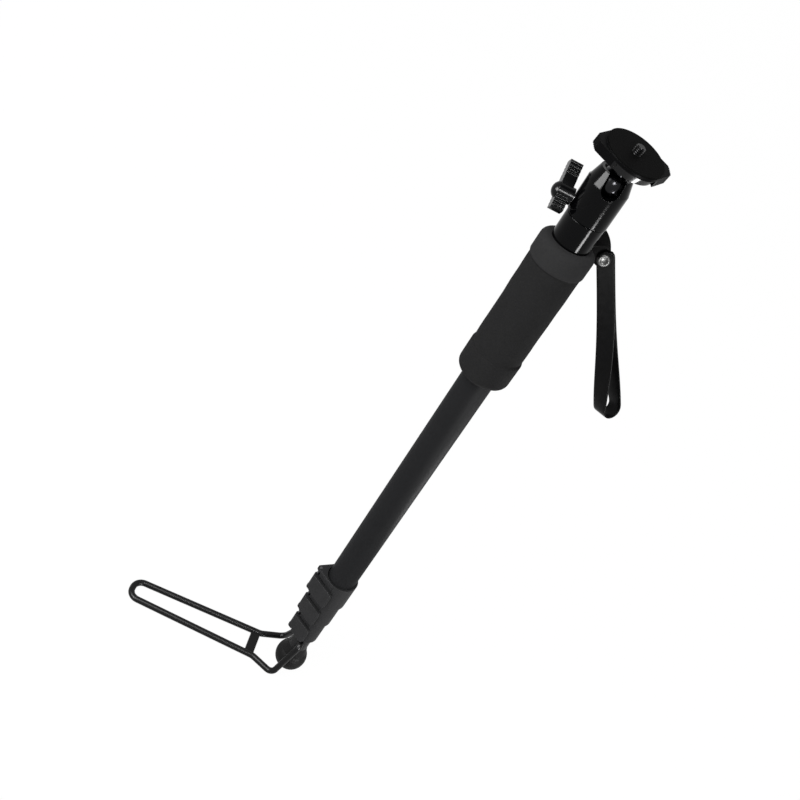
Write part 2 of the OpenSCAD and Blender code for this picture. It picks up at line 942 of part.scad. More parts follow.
// Two finger ears, each joined to the disc by straight sides a hair inside their common tangents
module platform_ears() {
    corner = 2.4;
    below_face = 0.3;
    hair = 0.01;
    disc_r = platform_d / 2;
    end = [ears_len / 2 - corner, ear_w / 2 - corner];
    side = atan2(end[1], end[0]) + acos((disc_r - corner) / norm(end));
    outward = [cos(side), sin(side)];
    near = (disc_r - hair) * outward;
    far = end + (corner - hair) * outward;
    translate([0, 0, platform_t - below_face - ear_h])
        rotate([0, 0, ear_turn])
            linear_extrude(ear_h)
                for (x = [0, 1])
                    mirror([x, 0])
                        union() {
                            polygon([near, far, [far[0], -far[1]], [near[0], -near[1]]]);
                            translate([0, -end[1]])
                                square([ears_len / 2, 2 * end[1]]);
                            for (y = [-1, 1])
                                translate([end[0], y * end[1]])
                                    circle(r = corner);
                        }
}

module platform_pad() {
    color("#29292a")
        at_stem()
            translate([0, 0, platform_low + platform_t])
                difference() {
                    cylinder(h = pad_t, d = pad_d);
                    translate([0, 0, -past])
                        cylinder(h = pad_t + 2 * past, d = screw_d + 2 * slide_gap);
                }
}

// Wing knob

module wing_knob() {
    wing_mid = knob_out - wing_t / 2;
    rib_pitch = 2.4;
    rib_r = 0.7;
    rib_end = 2;
    ribs_up = [for (k = [0 : 3]) wing_up - rib_end - k * rib_pitch];
    ribs_down = [for (k = [0 : 2]) rib_end + k * rib_pitch - wing_down];
    color(black)
        at_knob()
            difference() {
                union() {
                    translate([0, 0, knob_in])
                        cylinder(h = knob_out - knob_in, d = knob_d);
                    translate([0, 0, knob_out - wing_t])
                        linear_extrude(wing_t)
                            rotate(wing_turn)
                                wing_plan();
                }
                // Finger ribs on both faces of both wings
                rotate([0, 0, wing_turn])
                    translate([0, 0, knob_out - wing_t - past])
                        for (side = [-1, 1], y = concat(ribs_up, ribs_down))
                            translate([side * wing_w / 2, y])
                                cylinder(h = wing_t + 2 * past, r = rib_r);
                translate([0, 0, knob_in - past])
                    cylinder(h = wing_mid - knob_in + past, d = stud_d);
            }
}

// Outline of the two wings across the hub
module wing_plan() {
    corner = 2;
    span = wing_up + wing_down;
    translate([-wing_w / 2, corner - wing_down])
        square([wing_w, span - 2 * corner]);
    translate([corner - wing_w / 2, -wing_down])
        square([wing_w - 2 * corner, span]);
    for (x = [-1, 1], y = [corner - wing_down, wing_up - corner])
        translate([x * (wing_w / 2 - corner), y])
            circle(r = corner);
}

module knob_stud() {
    tip = stud_d / 2;
    far = knob_out - wing_t / 2;
    color(steel)
        at_knob()
            rotate_extrude()
                polygon([
                    [0, 0],
                    [tip, tip],
                    [tip, far],
                    [0, far]
                ]);
}

module knob_cap() {
    dome_r = (pow(knob_d / 2, 2) + cap_h * cap_h) / (2 * cap_h);
    color("#262627")
        at_knob()
            intersection() {
                translate([0, 0, knob_out + cap_h - dome_r])
                    sphere(r = dome_r);
                translate([0, 0, knob_out])
                    cylinder(h = cap_h + past, d = knob_d);
            }
}

// Wrist strap

// Places a shape at the strap screw: screw along -Z, the pole up along +Y
module at_anchor() {
    translate([0, strap_y, anchor_z])
        rotate([90, 0, 0])
            children();
}

// Places a shape at the rivet: rivet along Z, the loop's length along +X
module at_rivet() {
    translate([rivet_x, strap_y, anchor_z - rivet_drop])
        rotate([90, 0, 0])
            rotate([0, 0, hang_angle - 90])
                children();
}

// Tab that passes over the shoulder of the grip: one leg out from the screw, one down to the rivet
module strap_tab() {
    color("#1e1e1f")
        at_anchor()
            translate([0, 0, -tab_t / 2])
                linear_extrude(tab_t)
                    difference() {
                        union() {
                            tab_leg([0, 0], tab_knee);
                            tab_leg(tab_knee, tab_end);
                        }
                        circle(d = strap_screw_d + 2 * pin_clear);
                        translate(tab_end)
                            circle(d = rivet_shank_d + 2 * pin_clear);
                    }
}

// Straight strip with round ends between two points
module tab_leg(a, b) {
    run = b - a;
    translate(a)
        rotate(atan2(run[1], run[0])) {
            circle(d = tab_w);
            translate([0, -tab_w / 2])
                square([norm(run), tab_w]);
            translate([norm(run), 0])
                circle(d = tab_w);
        }
}

module strap_screw() {
    head_y = strap_y + tab_t / 2 + slide_gap + washer_t;
    color(steel)
        translate([0, 0, anchor_z])
            rotate([-90, 0, 0]) {
                translate([0, 0, head_screw_d])
                    cylinder(h = head_y - head_screw_d, d = strap_screw_d);
                translate([0, 0, head_y])
                    cylinder(h = strap_head_t, d = strap_head_d);
            }
}

module strap_washer() {
    color(steel)
        translate([0, strap_y + tab_t / 2 + slide_gap, anchor_z])
            rotate([-90, 0, 0])
                difference() {
                    cylinder(h = washer_t, d = washer_d);
                    translate([0, 0, -past])
                        cylinder(h = washer_t + 2 * past, d = strap_screw_d);
                }
}

// Half gap between the two layers of the loop at a distance s below the rivet
layer_in = tab_t / 2 + slide_gap;
fold_s = loop_len - loop_half - strap_t;
flat_s = 8;
function swell(s) =
    let (along = max(0, min(1, (s - flat_s) / (fold_s - flat_s))))
        layer_in + (loop_half - layer_in) * pow(sin(90 * along), 2);

// Half of the loop's section at a distance outside its inner face, from above the rivet to the fold's end
loop_steps = 18;
fold_steps = 9;
function loop_edge(out) = concat(
    [
        for (k = [0 : loop_steps])
            let (s = -strap_w / 2 + (fold_s + strap_w / 2) * k / loop_steps)
                [s, swell(s) + out]
    ],
    [
        for (k = [1 : fold_steps])
            fold_end + (loop_half + out) * [sin(90 * k / fold_steps), cos(90 * k / fold_steps)]
    ]
);
fold_end = [fold_s, 0];
function reversed(p) = [for (k = [len(p) - 1 : -1 : 0]) p[k]];
function flipped(p) = [for (q = reversed(p)) [q[0], -q[1]]];

module wrist_strap() {
    outer = loop_edge(strap_t);
    inner = loop_edge(0);
    color("#1e1e1f")
        at_rivet()
            difference() {
                intersection() {
                    rotate([90, 0, 0])
                        linear_extrude(strap_w, center = true)
                            polygon(concat(
                                outer, flipped(outer),
                                reversed(flipped(inner)), reversed(inner)
                            ));
                    translate([0, 0, -2 * loop_half])
                        linear_extrude(4 * loop_half) {
                            circle(d = strap_w);
                            translate([0, -strap_w])
                                square([loop_len + past, 2 * strap_w]);
                        }
                }
                translate([0, 0, -2 * loop_half])
                    cylinder(h = 4 * loop_half, d = rivet_shank_d);
            }
}

module strap_rivet() {
    face = layer_in + strap_t;
    color("#77787a")
        at_rivet() {
            translate([0, 0, -face])
                cylinder(h = 2 * face, d = rivet_shank_d);
            for (side = [0, 1])
                mirror([0, 0, side])
                    translate([0, 0, face])
                        cylinder(h = rivet_head_t, d1 = rivet_d, d2 = rivet_d - rivet_taper);
        }
}

tube(0);  // upper_tube
tube(1);  // second_tube
tube(2);  // third_tube
tube(3);  // lower_tube
guide_bush(1);  // second_guide_bush
guide_bush(2);  // third_guide_bush
guide_bush(3);  // lower_guide_bush
lock_collar(0);  // upper_lock_collar
lock_lever(0);  // upper_lock_lever
lock_pin(0);  // upper_lock_pin
lock_bolt(0);  // upper_lock_bolt
lock_nut(0);  // upper_lock_nut
lock_collar(1);  // middle_lock_collar
lock_lever(1);  // middle_lock_lever
lock_pin(1);  // middle_lock_pin
lock_bolt(1);  // middle_lock_bolt
lock_nut(1);  // middle_lock_nut
lock_collar(2);  // lower_lock_collar
lock_lever(2);  // lower_lock_lever
lock_pin(2);  // lower_lock_pin
lock_bolt(2);  // lower_lock_bolt
lock_nut(2);  // lower_lock_nut
foot_hub();
rubber_foot();
stirrup_wire();
stirrup_crossbar();
foam_grip();
neck();
head_screw();
ball_housing();
ball_seat();
ball_stem();
camera_screw();
camera_platform();
platform_pad();
wing_knob();
knob_stud();
knob_cap();
strap_screw();
strap_washer();
strap_tab();
strap_rivet();
wrist_strap();
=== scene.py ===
# Looks of the folded camera monopod, in metres: sole of the foot at the origin, pole along +Z.
from math import cos, pi, radians, sin

import bmesh
import bpy
from mathutils import Matrix, Vector, noise


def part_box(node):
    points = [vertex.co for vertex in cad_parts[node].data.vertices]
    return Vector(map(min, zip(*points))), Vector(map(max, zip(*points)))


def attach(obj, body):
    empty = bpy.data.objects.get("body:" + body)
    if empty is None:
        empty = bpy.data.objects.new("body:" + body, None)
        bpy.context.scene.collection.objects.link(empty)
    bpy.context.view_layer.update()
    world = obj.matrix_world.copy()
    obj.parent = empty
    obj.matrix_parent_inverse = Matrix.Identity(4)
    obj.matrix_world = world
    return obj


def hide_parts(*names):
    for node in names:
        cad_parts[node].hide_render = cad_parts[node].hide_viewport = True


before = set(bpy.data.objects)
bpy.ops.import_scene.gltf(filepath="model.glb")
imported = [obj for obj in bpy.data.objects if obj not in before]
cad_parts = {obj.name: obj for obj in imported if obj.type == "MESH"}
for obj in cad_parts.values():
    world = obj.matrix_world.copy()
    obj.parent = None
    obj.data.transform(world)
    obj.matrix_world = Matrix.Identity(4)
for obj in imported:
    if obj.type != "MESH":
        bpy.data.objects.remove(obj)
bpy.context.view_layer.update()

# View
# The camera stands in front of the pole and looks down at it. It is rolled, so that the
# pole leans to the right across a square picture.
eye = Vector((-0.13065, -0.58422, 0.76435))
look = Vector((0.12446, 0.79634, -0.59189))
roll = radians(31.98)

camera_data = bpy.data.cameras.new("camera")
camera_data.sensor_fit = "HORIZONTAL"
camera_data.sensor_width = 36.0
camera_data.lens = 45.0
camera_data.clip_start = 0.01
camera = bpy.data.objects.new("camera", camera_data)
bpy.context.scene.collection.objects.link(camera)
upright = look.to_track_quat("-Z", "Y").to_matrix().to_4x4()
camera.matrix_world = Matrix.Translation(eye) @ upright @ Matrix.Rotation(roll, 4, "Z")
bpy.context.scene.camera = camera
bpy.context.scene.view_settings.view_transform = "Standard"


# Floor and light
# A sheet of white paper lies under the pole. One broad softbox lights it from above, and
# five smaller ones show only as highlights in the gloss of the head.
class Tone:
    """One socket of a shader, used in sums; make() adds any other kind of node."""

    def __init__(self, tree, socket=None):
        self.tree = tree
        self.socket = socket

    def make(self, kind, settings=None, values=None, out=0):
        node = self.tree.nodes.new(kind)
        for name, value in (settings or {}).items():
            setattr(node, name, value)
        for name, value in (values or {}).items():
            if isinstance(value, Tone):
                self.tree.links.new(value.socket, node.inputs[name])
            else:
                node.inputs[name].default_value = value
        return Tone(self.tree, node.outputs[out] if node.outputs else None)

    def math(self, operation, first, second=0.0):
        return self.make("ShaderNodeMath", {"operation": operation}, {0: first, 1: second})

    def __add__(self, other):
        return self.math("ADD", self, other)

    def __sub__(self, other):
        return self.math("SUBTRACT", self, other)

    def __rsub__(self, other):
        return self.math("SUBTRACT", other, self)

    def __mul__(self, other):
        return self.math("MULTIPLY", self, other)

    __radd__ = __add__
    __rmul__ = __mul__


def blank(name):
    """An empty material and the tone that its nodes are made from."""
    finish = bpy.data.materials.new(name)
    finish.use_nodes = True
    finish.node_tree.nodes.clear()
    return finish, Tone(finish.node_tree)


def background_rays(tone):
    """One for the rays that show the background: straight, mirrored or through glass."""
    straight, mirrored, through = (
        tone.make("ShaderNodeLightPath", out=kind)
        for kind in ("Is Camera Ray", "Is Glossy Ray", "Is Transmission Ray")
    )
    return tone.math("MAXIMUM", tone.math("MAXIMUM", straight, mirrored), through)


def add_piece(name, mesh, finish, smooth=True):
    """Links a finished bmesh as an object with one material."""
    data = bpy.data.meshes.new(name)
    mesh.to_mesh(data)
    mesh.free()
    data.materials.append(finish)
    if smooth:
        data.shade_smooth()
    piece = bpy.data.objects.new(name, data)
    bpy.context.scene.collection.objects.link(piece)
    return piece


white = (1.0, 1.0, 1.0, 1.0)
paper_white = (0.9, 0.9, 0.9, 1.0)
paper_glow = 0.96
glow_strength = 1.02
paper_half = 12.0
room_light = 0.5

paper, tone = blank("white_paper")
sheet = tone.make("ShaderNodeBsdfDiffuse", None, {"Color": paper_white})
glow = tone.make("ShaderNodeEmission", None, {"Color": white, "Strength": glow_strength})
glowing = background_rays(tone) * paper_glow
seen = tone.make("ShaderNodeMixShader", None, {0: glowing, 1: sheet, 2: glow})
tone.make("ShaderNodeOutputMaterial", None, {"Surface": seen})

shape = bmesh.new()
bmesh.ops.create_grid(shape, x_segments=2, y_segments=2, size=paper_half)
floor = add_piece("floor", shape, paper)

world = bpy.data.worlds.new("studio")
world.use_nodes = True
world.node_tree.nodes.clear()
tone = Tone(world.node_tree)
room_strength = background_rays(tone) * (1.0 - room_light) + room_light
room = tone.make("ShaderNodeBackground", None, {"Color": white, "Strength": room_strength})
tone.make("ShaderNodeOutputWorld", None, {"Surface": room})
bpy.context.scene.world = world


def lamp(name, place, target, wide, high, watts, gloss_only=True, spread=180.0):
    """A softbox that the camera doesn't see. One for gloss only shows as a highlight."""
    data = bpy.data.lights.new(name, "AREA")
    data.shape = "RECTANGLE"
    data.size = wide
    data.size_y = high
    data.energy = watts
    data.spread = radians(spread)
    box = bpy.data.objects.new(name, data)
    bpy.context.scene.collection.objects.link(box)
    aim = (Vector(target) - Vector(place)).to_track_quat("-Z", "Y").to_matrix().to_4x4()
    box.matrix_world = Matrix.Translation(place) @ aim
    box.visible_camera = False
    box.visible_diffuse = not gloss_only


pole_at = (0.0, 0.0, 0.3)
grip_at = (0.0, 0.0, 0.5)
head_at = (0.0, 0.0, 0.55)
skirt_at = (0.0, 0.0, 0.56)
lamp("top_softbox", (-0.9, -0.9, 1.7), pole_at, wide=0.9, high=0.9, watts=15.0, gloss_only=False)
lamp("right_strip", (0.343, -0.363, 0.17), grip_at, wide=0.10, high=0.30, watts=7.0)
lamp("left_softbox", (-0.62, -0.36, 0.68), head_at, wide=0.50, high=0.32, watts=20.0)
lamp("floor_card", (0.25, 0.07, 0.03), skirt_at, wide=0.12, high=0.12, watts=0.2, spread=50.0)
lamp("top_card", (-0.25, -0.35, 1.25), head_at, wide=0.25, high=0.25, watts=8.0)
lamp("front_card", (0.16, -0.75, 0.95), head_at, wide=0.16, high=0.16, watts=6.0)


# Tubes
# Four drawn aluminium tubes, each sliding in the one above, with a fine matte charcoal
# anodised skin that keeps the faint draw lines along the tube.
def dress(finish, *names):
    """Gives CAD nodes a finish."""
    for name in names:
        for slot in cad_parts[name].material_slots:
            slot.material = finish


def surface(tone, colour, rough, specular, height, depth, normal=None, **more):
    """The shader of a finish, with its grain as a bump of some depth over the normal."""
    bump = {"Height": height, "Distance": depth, "Strength": 1.0}
    if normal is not None:
        bump["Normal"] = normal
    values = {
        "Base Color": colour,
        "Roughness": rough,
        "Specular IOR Level": specular,
        "Normal": tone.make("ShaderNodeBump", None, bump),
        **more,
    }
    shader = tone.make("ShaderNodeBsdfPrincipled", None, values)
    tone.make("ShaderNodeOutputMaterial", None, {"Surface": shader})


def grain(tone, size, stretch=(1.0, 1.0, 1.0), detail=2.0):
    """Noise with grains of a size in metres, stretched along the axes."""
    place = tone.make("ShaderNodeTexCoord", out="Object")
    drawn = tone.make("ShaderNodeMapping", None, {"Vector": place, "Scale": stretch})
    return tone.make(
        "ShaderNodeTexNoise", None, {"Vector": drawn, "Scale": 1.0 / size, "Detail": detail}
    )


def mixed(tone, factor, first, second):
    """A colour between two colours."""
    return tone.make(
        "ShaderNodeMix", {"data_type": "RGBA"}, {0: factor, 6: first, 7: second}, 2
    )


charcoal = (0.0162, 0.0165, 0.0176, 1.0)
pale_charcoal = (0.0252, 0.0256, 0.027, 1.0)
anodised, tone = blank("anodised_charcoal")
draw_lines = grain(tone, size=0.0006, stretch=(1.0, 1.0, 0.02))
blast = grain(tone, size=0.00022)
cloud = grain(tone, size=0.03, detail=3.0)
surface(
    tone,
    colour=mixed(tone, cloud * 0.6 + blast * 0.4, charcoal, pale_charcoal),
    rough=0.46 + draw_lines * 0.14,
    specular=0.02,
    height=draw_lines * 0.4 + blast * 0.6,
    depth=0.00003,
)
dress(anodised, "upper_tube", "second_tube", "third_tube", "lower_tube")


# Guide bushes
# Acetal rings plugged into the top of each sliding tube keep it straight in the tube above.
# They are turned, so fine rings run round them.
def rounded(tone, radius):
    """The normal, rounded over the edges by a radius."""
    return tone.make("ShaderNodeBevel", {"samples": 6}, {"Radius": radius})


def dot(tone, first, second):
    """The dot product of two vectors."""
    return tone.make(
        "ShaderNodeVectorMath", {"operation": "DOT_PRODUCT"}, {0: first, 1: second}, "Value"
    )


def rubbed(tone, soft, gain=5.0):
    """How far each point is on an edge, from the normal that is rounded there."""
    flat = tone.make("ShaderNodeNewGeometry", out="Normal")
    return tone.math("MINIMUM", (1.0 - dot(tone, soft, flat)) * gain, 1.0)


bush_black = (0.010, 0.010, 0.011, 1.0)
bush_rubbed = (0.03, 0.03, 0.031, 1.0)
acetal, tone = blank("black_acetal")
rings = grain(tone, size=0.0004, stretch=(0.02, 0.02, 1.0))
soft = rounded(tone, radius=0.0003)
edge = rubbed(tone, soft)
surface(
    tone,
    colour=mixed(tone, edge * 0.4 + rings * 0.2, bush_black, bush_rubbed),
    rough=0.34 + rings * 0.12,
    specular=0.35,
    height=rings,
    depth=0.00002,
    normal=soft,
)
dress(acetal, "second_guide_bush", "third_guide_bush", "lower_guide_bush")

# Flip locks
# Three clamp collars and their levers, moulded in glass-filled nylon with a spark-eroded
# matte grain. The handled edges of levers and plates are rubbed a little lighter.
lock_grey = (0.014, 0.014, 0.0149, 1.0)
lock_rubbed = (0.0625, 0.0625, 0.065, 1.0)
nylon, tone = blank("lock_nylon")
speck = grain(tone, size=0.00032, detail=3.0)
flow = grain(tone, size=0.012, stretch=(1.0, 1.0, 0.5), detail=3.0)
soft = rounded(tone, radius=0.00055)
edge = rubbed(tone, soft)
surface(
    tone,
    colour=mixed(tone, edge * 0.9 + flow * 0.3 + speck * 0.12, lock_grey, lock_rubbed),
    rough=0.5 - edge * 0.12 + speck * 0.12,
    specular=0.1,
    height=speck,
    depth=0.00005,
    normal=soft,
)
for lock in ("upper", "middle", "lower"):
    dress(nylon, lock + "_lock_collar", lock + "_lock_lever")

# Lock pins, bolts, nuts and hidden screws
# Blackened steel, bright where it is rubbed: ground hinge pins, and a socket-head bolt with
# a hexagon nut that sets how hard each clamp closes. The head's and strap's screws match.
steel_black = (0.05, 0.05, 0.052, 1.0)
steel_rubbed = (0.22, 0.22, 0.22, 1.0)
plated, tone = blank("blackened_steel")
turning = grain(tone, size=0.0002, stretch=(1.0, 1.0, 0.1))
stain = grain(tone, size=0.004, detail=3.0)
soft = rounded(tone, radius=0.00015)
edge = rubbed(tone, soft)
surface(
    tone,
    colour=mixed(tone, stain * 0.5 + edge * 0.5, steel_black, steel_rubbed),
    rough=0.24 + turning * 0.16,
    specular=0.5,
    height=turning,
    depth=0.00001,
    normal=soft,
    Metallic=1.0,
)
for lock in ("upper", "middle", "lower"):
    dress(plated, lock + "_lock_pin", lock + "_lock_bolt", lock + "_lock_nut")
dress(plated, "head_screw", "knob_stud", "strap_screw", "strap_washer")

# Foot hub
# A black moulded plug glued into the lower tube. It carries the stirrup's pivots and
# the stem that the rubber foot is pressed on.
hub_black = (0.006, 0.006, 0.0065, 1.0)
hub_rubbed = (0.024, 0.024, 0.025, 1.0)
hub_plastic, tone = blank("hub_plastic")
speck = grain(tone, size=0.0004)
soft = rounded(tone, radius=0.0005)
edge = rubbed(tone, soft)
surface(
    tone,
    colour=mixed(tone, edge * 0.5 + speck * 0.2, hub_black, hub_rubbed),
    rough=0.36 + speck * 0.15,
    specular=0.16,
    height=speck,
    depth=0.00003,
    normal=soft,
)
dress(hub_plastic, "foot_hub")

# Rubber foot
# A moulded rubber bulb with a flat sole, dull, with fine pores and faint clouds of scuffs
# and dust all over it.
rubber_black = (0.005, 0.005, 0.005, 1.0)
rubber_dusty = (0.018, 0.018, 0.018, 1.0)
rubber, tone = blank("foot_rubber")
pores = grain(tone, size=0.0005, detail=3.0)
scuff = grain(tone, size=0.006, detail=4.0)
surface(
    tone,
    colour=mixed(tone, scuff * 0.6 + pores * 0.3, rubber_black, rubber_dusty),
    rough=0.5 + pores * 0.2,
    specular=0.08,
    height=pores,
    depth=0.00006,
    normal=rounded(tone, radius=0.0006),
)
dress(rubber, "rubber_foot")


# Stirrup
# A steel wire bent to a long foot loop, its bare ends turned into the hub as pivots, and a
# flat bar welded across. The loop and the bar are dipped in a thick black lacquer.
def bent_path(corners, bends, steps=8):
    """Points along straight runs whose corners are bent to their own radii."""
    points = [corners[0]]
    for before, corner, after, bend in zip(corners, corners[1:], corners[2:], bends):
        back = (before - corner).normalized()
        on = (after - corner).normalized()
        half = back.angle(on) / 2
        axis = (back + on).normalized()
        centre = corner + axis * bend / sin(half)
        side = (on - back).normalized()
        sweep = pi / 2 - half
        for step in range(-steps, steps + 1):
            turn = sweep * step / steps
            points.append(centre + bend * (side * sin(turn) - axis * cos(turn)))
    points.append(corners[-1])
    return points


pivot_radius = 0.00225
pivot_high = 0.0424
hub_reach = 0.008
wire_radius = 0.0029
wire_floor = 0.0032
loop_end = -0.157
half_corners = [
    Vector((0.0, 0.0065, pivot_high)),
    Vector((0.0, 0.0132, pivot_high)),
    Vector((-0.010, 0.022, wire_floor)),
    Vector((-0.0322, 0.01306, wire_floor)),
    Vector((loop_end, 0.0096, wire_floor)),
    Vector((loop_end, 0.0, wire_floor)),
]
half_bends = (0.0045, 0.007, 0.014, 0.0088)
half_run = bent_path(half_corners, half_bends)
wire_path = half_run + [Vector((p.x, -p.y, p.z)) for p in reversed(half_run[:-1])]

lacquer_black = (0.0022, 0.0022, 0.0025, 1.0)
lacquer_dusty = (0.0068, 0.0068, 0.0072, 1.0)
lacquer, tone = blank("dipped_lacquer")
ripple = grain(tone, size=0.004)
dust = grain(tone, size=0.0005)
surface(
    tone,
    colour=mixed(tone, dust * 0.5 + ripple * 0.3, lacquer_black, lacquer_dusty),
    rough=0.26 + ripple * 0.14,
    specular=0.14,
    height=ripple * 0.8 + dust * 0.2,
    depth=0.00004,
)
wire_curve = bpy.data.curves.new("stirrup_rod", "CURVE")
wire_curve.dimensions = "3D"
wire_curve.bevel_depth = wire_radius
wire_curve.bevel_resolution = 6
wire_curve.use_fill_caps = True
spline = wire_curve.splines.new("POLY")
spline.points.add(len(wire_path) - 1)
for point, place in zip(spline.points, wire_path):
    point.co = (*place, 1.0)
    in_hub = place.to_2d().length < hub_reach
    point.radius = pivot_radius / wire_radius if in_hub else 1.0
spline.use_smooth = True
wire_curve.materials.append(lacquer)
stirrup_rod = bpy.data.objects.new("stirrup_rod", wire_curve)
bpy.context.scene.collection.objects.link(stirrup_rod)
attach(stirrup_rod, "stirrup")
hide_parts("stirrup_wire")

bar_extra = 0.003
bar_edge = 0.0004
bar_low, bar_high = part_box("stirrup_crossbar")
bar_high.x += bar_extra
bar_size = bar_high - bar_low
bar_middle = (bar_low + bar_high) / 2
shape = bmesh.new()
bmesh.ops.create_cube(shape, size=1.0)
for vert in shape.verts:
    vert.co = bar_middle + Vector(side * length for side, length in zip(vert.co, bar_size))
bmesh.ops.bevel(
    shape, geom=shape.edges[:], offset=bar_edge, segments=3, profile=0.5,
    affect="EDGES", material=-1,
)
flat_bar = add_piece("flat_bar", shape, lacquer, smooth=False)
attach(flat_bar, "stirrup")
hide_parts("stirrup_crossbar")


# Foam grip
# A moulded tube of closed-cell foam pushed over the upper tube. Its ends are thicker collars
# with a crease beside them, and the skin is dull, finely pored and paler on the top collar.
tiny = 1e-6


def turned(outline, steps):
    """A shape turned round the Z axis from an open outline of radius and height."""
    shape = bmesh.new()
    corners = [shape.verts.new((radius, 0.0, height)) for radius, height in outline]
    for first, second in zip(corners, corners[1:]):
        shape.edges.new((first, second))
    bmesh.ops.spin(
        shape, geom=shape.verts[:] + shape.edges[:], cent=(0, 0, 0), axis=(0, 0, 1),
        angle=2 * pi, steps=steps, use_merge=True,
    )
    bmesh.ops.remove_doubles(shape, verts=shape.verts[:], dist=tiny)
    bmesh.ops.recalc_face_normals(shape, faces=shape.faces[:])
    return shape


def round_ring(shape, radius, height, offset, segments):
    """Rounds the ring of edges at one radius and height."""
    ring = [
        edge for edge in shape.edges
        if all(
            abs(end.co.z - height) < tiny and abs(end.co.to_2d().length - radius) < tiny
            for end in edge.verts
        )
    ]
    bmesh.ops.bevel(
        shape, geom=ring, offset=offset, segments=segments, profile=0.5,
        affect="EDGES", material=-1,
    )


grip_low, grip_end = (corner.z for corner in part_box("foam_grip"))
grip_seam = grip_end - 0.023
grip_high = grip_end - 0.006
grip_bore = 0.0126
grip_radius = 0.0192
collar_radius = 0.0201
collar_high = 0.023
collar_round = 0.0048
seam_round = 0.0009
crease_deep = 0.0003
crease_wide = 0.0012
bore_skin = 0.0005
swell = 0.0003
swells_per_metre = 70.0
cells_per_metre = 1900.0
grip_outline = [
    (grip_bore, grip_low),
    (collar_radius, grip_low),
    (collar_radius, grip_low + collar_high),
    (grip_radius - crease_deep, grip_low + collar_high + crease_wide / 2),
    (grip_radius, grip_low + collar_high + 2 * crease_wide),
    (grip_radius, grip_seam - 2 * crease_wide),
    (grip_radius - crease_deep, grip_seam - crease_wide / 2),
    (collar_radius, grip_seam),
    (collar_radius, grip_high),
    (grip_bore, grip_high),
]
shape = turned(grip_outline, steps=72)
for height in (grip_low, grip_high):
    round_ring(shape, collar_radius, height, offset=collar_round, segments=6)
for height in (grip_low + collar_high, grip_seam):
    round_ring(shape, collar_radius, height, offset=seam_round, segments=3)
long_run = 0.012
lengthwise = [
    edge for edge in shape.edges
    if abs(edge.verts[0].co.z - edge.verts[1].co.z) > long_run
]
bmesh.ops.subdivide_edges(shape, edges=lengthwise, cuts=22, use_grid_fill=True)
for vert in shape.verts:
    out = Vector((vert.co.x, vert.co.y, 0.0))
    if out.length > grip_bore + bore_skin:
        vert.co += out.normalized() * swell * noise.noise(vert.co * swells_per_metre)

foam_black = (0.0098, 0.0098, 0.01, 1.0)
foam_grey = (0.036, 0.036, 0.0368, 1.0)
foam, tone = blank("grip_foam")
place = tone.make("ShaderNodeTexCoord", out="Object")
cells = tone.make("ShaderNodeTexVoronoi", None, {"Vector": place, "Scale": cells_per_metre})
fuzz = grain(tone, size=0.0007, detail=4.0)
sweat = grain(tone, size=0.02, detail=3.0)
up = tone.make("ShaderNodeSeparateXYZ", None, {"Vector": place}, "Z")
collar = tone.math("GREATER_THAN", up, grip_seam - crease_wide / 2)
pale = fuzz * 0.4 + cells * 0.25 + sweat * 0.2 + collar * 0.6
surface(
    tone,
    colour=mixed(tone, pale, foam_black, foam_grey),
    rough=0.9,
    specular=0.03,
    height=cells * 0.5 + fuzz * 0.7,
    depth=0.00022,
)
grip = add_piece("foam_sleeve", shape, foam)
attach(grip, "section_1")
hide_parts("foam_grip")

# Neck and ball housing
# Die-cast, turned and lacquered in deep gloss black. The neck's plug fills the upper tube and
# its skirt covers the tube's end. The housing has a drop slot and a raised panel at the knob.
gloss_black = (0.0012, 0.0012, 0.0015, 1.0)
gloss_dusty = (0.008, 0.008, 0.0088, 1.0)
gloss, tone = blank("gloss_black_lacquer")
peel = grain(tone, size=0.0022)
dust = grain(tone, size=0.0006)
soft = rounded(tone, radius=0.0004)
edge = rubbed(tone, soft)
surface(
    tone,
    colour=mixed(tone, edge * 0.35 + dust * 0.25, gloss_black, gloss_dusty),
    rough=0.09 + dust * 0.06,
    specular=0.07,
    height=peel,
    depth=0.00002,
    normal=soft,
)
plug_low, neck_high = (corner.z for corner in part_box("neck"))
neck_radius = 0.0137
neck_edge = 0.0005
plug_radius = 0.0116
tube_radius = 0.01254
screw_radius = 0.003
neck_outline = [
    (0.0, plug_low),
    (plug_radius, plug_low),
    (plug_radius, grip_end),
    (tube_radius, grip_end),
    (tube_radius, grip_high),
    (neck_radius, grip_high),
    (neck_radius, neck_high - neck_edge),
    (neck_radius - neck_edge, neck_high),
    (screw_radius, neck_high),
    (screw_radius, grip_end),
    (0.0, grip_end),
]
shape = turned(neck_outline, steps=96)
skirted_neck = add_piece("skirted_neck", shape, gloss)
skirted_neck.data.set_sharp_from_angle(angle=radians(30.0))
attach(skirted_neck, "section_1")
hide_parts("neck")
dress(gloss, "ball_housing")

# Ball seat
# A grey acetal cup under the ball on a short peg. The cone on the knob's stud lifts it,
# and its turned face grips the ball.
seat_grey = (0.13, 0.13, 0.12, 1.0)
seat_rubbed = (0.2, 0.2, 0.19, 1.0)
cup, tone = blank("seat_acetal")
rings = grain(tone, size=0.0004, stretch=(0.05, 0.05, 1.0))
soft = rounded(tone, radius=0.0003)
edge = rubbed(tone, soft)
surface(
    tone,
    colour=mixed(tone, edge * 0.4 + rings * 0.3, seat_grey, seat_rubbed),
    rough=0.4 + rings * 0.15,
    specular=0.4,
    height=rings,
    depth=0.00002,
    normal=soft,
)
dress(cup, "ball_seat")

